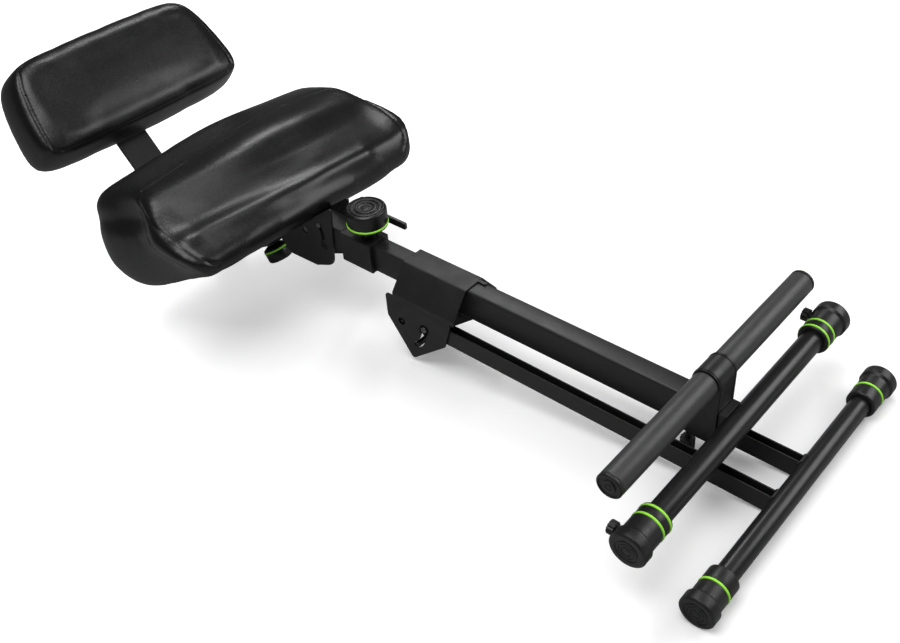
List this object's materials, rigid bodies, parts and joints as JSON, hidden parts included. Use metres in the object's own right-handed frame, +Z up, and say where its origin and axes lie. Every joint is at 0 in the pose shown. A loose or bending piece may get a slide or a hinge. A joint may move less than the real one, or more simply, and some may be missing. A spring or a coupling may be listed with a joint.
{
  "type": "folding keyboard stool",
  "caption": "Folding stool for a keyboard player: padded seat and backrest on a telescoping tube with a folding rear leg and a sliding footrest.",
  "frame": {"origin": "middle of the folded stool's outline, on the floor it lies on", "axes": "+X from the backrest to the feet, +Y across the stool, +Z up"},
  "size_m": [1.3662, 0.4806, 0.3822],
  "materials": {
    "black_metal": "satin powder coat",
    "dark_steel": "blackened",
    "black_plastic": "fine grain",
    "green_ring": "satin",
    "black_foam": "matt foam",
    "black_covering": "coated upholstery over foam",
    "dark_board": "painted board"
  },
  "bodies": {
    "frame": {"main_tube": "black_metal", "front_socket": "black_plastic", "hinge_cover": "black_metal", "hinge_cheek_near": "black_metal", "hinge_cheek_far": "black_metal", "leg_pivot_bolt": "dark_steel", "leg_lock_pin": "dark_steel", "leg_bush_near": "black_plastic", "leg_bush_far": "black_plastic", "front_crossbar": "black_metal", "front_cap_near": "black_plastic", "front_cap_far": "black_plastic", "front_ring_near_1": "green_ring", "front_ring_near_2": "green_ring", "front_ring_far_1": "green_ring", "front_ring_far_2": "green_ring"},
    "rear_leg": {"leg_plate_near": "black_metal", "leg_plate_far": "black_metal", "rear_rail_near": "black_metal", "rear_rail_far": "black_metal", "rear_crossbar": "black_metal", "rear_cap_near": "black_plastic", "rear_cap_far": "black_plastic", "rear_ring_near_1": "green_ring", "rear_ring_far_1": "green_ring"},
    "head": {"inner_tube": "black_metal", "head_sleeve": "black_metal", "head_tongue": "black_metal", "seat_pivot_bolt": "dark_steel", "seat_lock_pin": "dark_steel", "release_lever": "black_metal"},
    "head_knob": {"head_knob": "black_plastic", "head_knob_ring": "green_ring"},
    "seat": {"seat_plate_near": "black_metal", "seat_plate_far": "black_metal", "seat_mount": "black_metal", "mount_bolt_rear_near": "dark_steel", "mount_bolt_rear_far": "dark_steel", "mount_bolt_front_near": "dark_steel", "mount_bolt_front_far": "dark_steel", "bar_channel": "black_metal", "seat_board": "dark_board", "seat_cushion": "black_covering"},
    "seat_knob": {"seat_knob": "black_plastic", "seat_knob_ring": "green_ring"},
    "backrest": {"backrest_bar": "black_metal", "backrest_board": "dark_board", "backrest_cushion": "black_covering", "backrest_screw_low": "dark_steel", "backrest_screw_high": "dark_steel"},
    "footrest": {"footrest_collar": "black_plastic", "footrest_bar": "black_metal", "footrest_grip_near": "black_foam", "footrest_grip_far": "black_foam", "footrest_plug_near": "black_plastic", "footrest_plug_far": "black_plastic"},
    "footrest_knob": {"footrest_knob": "black_plastic"},
    "cap_screw_near": {"cap_screw_near": "black_plastic"},
    "cap_screw_far": {"cap_screw_far": "black_plastic"}
  },
  "joints": [
    {"name": "rear_leg_fold", "type": "hinge", "parent": "frame", "child": "rear_leg", "pos_m": [0.07172, 0, 0.06826], "axis": [0, 1, 0], "range_deg": [0, 52]},
    {"name": "height_slide", "type": "slide", "parent": "frame", "child": "head", "axis": [-0.9951, 0, 0.0989], "range_m": [0, 0.15]},
    {"name": "seat_fold", "type": "hinge", "parent": "head", "child": "seat", "pos_m": [-0.13757, 0, 0.14645], "axis": [0, -1, 0], "range_deg": [0, 52]},
    {"name": "backrest_slide", "type": "slide", "parent": "seat", "child": "backrest", "axis": [-0.9112, 0, -0.4119], "range_m": [-0.012, 0.03]},
    {"name": "footrest_slide", "type": "slide", "parent": "frame", "child": "footrest", "axis": [-0.9951, 0, 0.0989], "range_m": [0, 0.22]},
    {"name": "head_knob_spin", "type": "hinge", "parent": "head", "child": "head_knob", "pos_m": [-0.01339, 0, 0.16234], "axis": [0.0989, 0, 0.9951], "continuous": true},
    {"name": "seat_knob_spin", "type": "hinge", "parent": "seat", "child": "seat_knob", "pos_m": [-0.26131, 0, 0.08032], "axis": [0.4119, 0, -0.9112], "continuous": true},
    {"name": "footrest_knob_spin", "type": "hinge", "parent": "footrest", "child": "footrest_knob", "pos_m": [0.51765, 0, 0.05548], "axis": [-0.0989, 0, -0.9951], "continuous": true},
    {"name": "cap_screw_spin_near", "type": "hinge", "parent": "frame", "child": "cap_screw_near", "pos_m": [0.58645, -0.222, 0.08653], "axis": [-0.9951, 0, 0.0989], "continuous": true},
    {"name": "cap_screw_spin_far", "type": "hinge", "parent": "frame", "child": "cap_screw_far", "pos_m": [0.58645, 0.222, 0.08653], "axis": [-0.9951, 0, 0.0989], "continuous": true}
  ]
}
